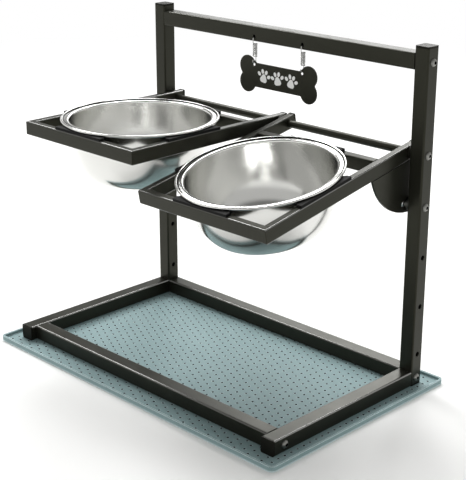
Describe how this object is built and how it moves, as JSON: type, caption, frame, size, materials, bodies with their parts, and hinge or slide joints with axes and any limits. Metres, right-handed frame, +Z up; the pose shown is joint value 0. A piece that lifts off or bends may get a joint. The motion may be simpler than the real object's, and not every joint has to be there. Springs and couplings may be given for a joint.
{
  "type": "dog feeder stand",
  "caption": "Raised dog feeder stand of black square tube with tilting bowl frames on a pivot rod, lift-out stainless bowls, a bone sign on coil hangers and a lipped mat",
  "frame": {"origin": "Middle of the mat's underside, on the floor", "axes": "+X across the stand to the right as seen from the front, +Y to the uprights at the back, +Z up; the dog eats from -Y"},
  "size_m": [0.512, 0.32, 0.434],
  "materials": {
    "black_steel": "satin black powder coat on welded steel tube and sheet",
    "black_plastic": "moulded black plastic, fine matt grain",
    "dark_zinc": "dark zinc plated steel, satin",
    "bright_zinc": "bright zinc plated steel",
    "stainless": "spun stainless steel, bright polish",
    "pad_rubber": "moulded black rubber, matt",
    "mat_silicone": "soft grey-blue silicone, matt, with small dimples"
  },
  "bodies": {
    "stand": {"left_upright": "black_steel", "right_upright": "black_steel", "left_side_rail": "black_steel", "right_side_rail": "black_steel", "front_rail": "black_steel", "rear_rail": "black_steel", "top_bar": "black_steel", "upright_caps": "black_plastic", "upright_feet": "black_plastic", "rail_caps": "black_plastic", "tube_inserts": "bright_zinc", "frame_bolts": "dark_zinc", "pivot_rod": "black_steel", "pivot_bolts": "dark_zinc", "pivot_collars": "black_plastic", "lock_bolts": "dark_zinc", "lock_spacers": "dark_zinc", "lock_washers": "bright_zinc", "lock_nuts": "bright_zinc", "mat": "mat_silicone"},
    "left_frame": {"left_front_bar": "black_steel", "left_rear_bar": "black_steel", "left_outer_arm": "black_steel", "left_inner_arm": "black_steel", "left_arm_caps": "black_plastic", "left_tilt_plate": "black_steel", "left_seat_pads": "pad_rubber"},
    "right_frame": {"right_front_bar": "black_steel", "right_rear_bar": "black_steel", "right_outer_arm": "black_steel", "right_inner_arm": "black_steel", "right_arm_caps": "black_plastic", "right_tilt_plate": "black_steel", "right_seat_pads": "pad_rubber"},
    "left_bowl_body": {"left_bowl": "stainless"},
    "right_bowl_body": {"right_bowl": "stainless"},
    "hooks": {"sign_hooks": "bright_zinc"},
    "sign": {"sign_plate": "black_steel"}
  },
  "joints": [
    {"name": "left_tilt", "type": "hinge", "parent": "stand", "child": "left_frame", "pos_m": [0, 0.127, 0.303], "axis": [1, 0, 0], "range_deg": [0, 20]},
    {"name": "right_tilt", "type": "hinge", "parent": "stand", "child": "right_frame", "pos_m": [0, 0.127, 0.303], "axis": [1, 0, 0], "range_deg": [-10.5, 9.5]},
    {"name": "left_bowl_lift", "type": "slide", "parent": "left_frame", "child": "left_bowl_body", "axis": [0, 0, 1], "range_m": [0, 0.1]},
    {"name": "right_bowl_lift", "type": "slide", "parent": "right_frame", "child": "right_bowl_body", "axis": [0, -0.1822, 0.9833], "range_m": [0, 0.1]},
    {"name": "hook_swing", "type": "hinge", "parent": "stand", "child": "hooks", "pos_m": [0, 0.11775, 0.41], "axis": [-1, 0, 0], "range_deg": [-10, 15]},
    {"name": "sign_swing", "type": "hinge", "parent": "hooks", "child": "sign", "pos_m": [0, 0.11775, 0.37898], "axis": [-1, 0, 0], "range_deg": [-15, 15]}
  ]
}
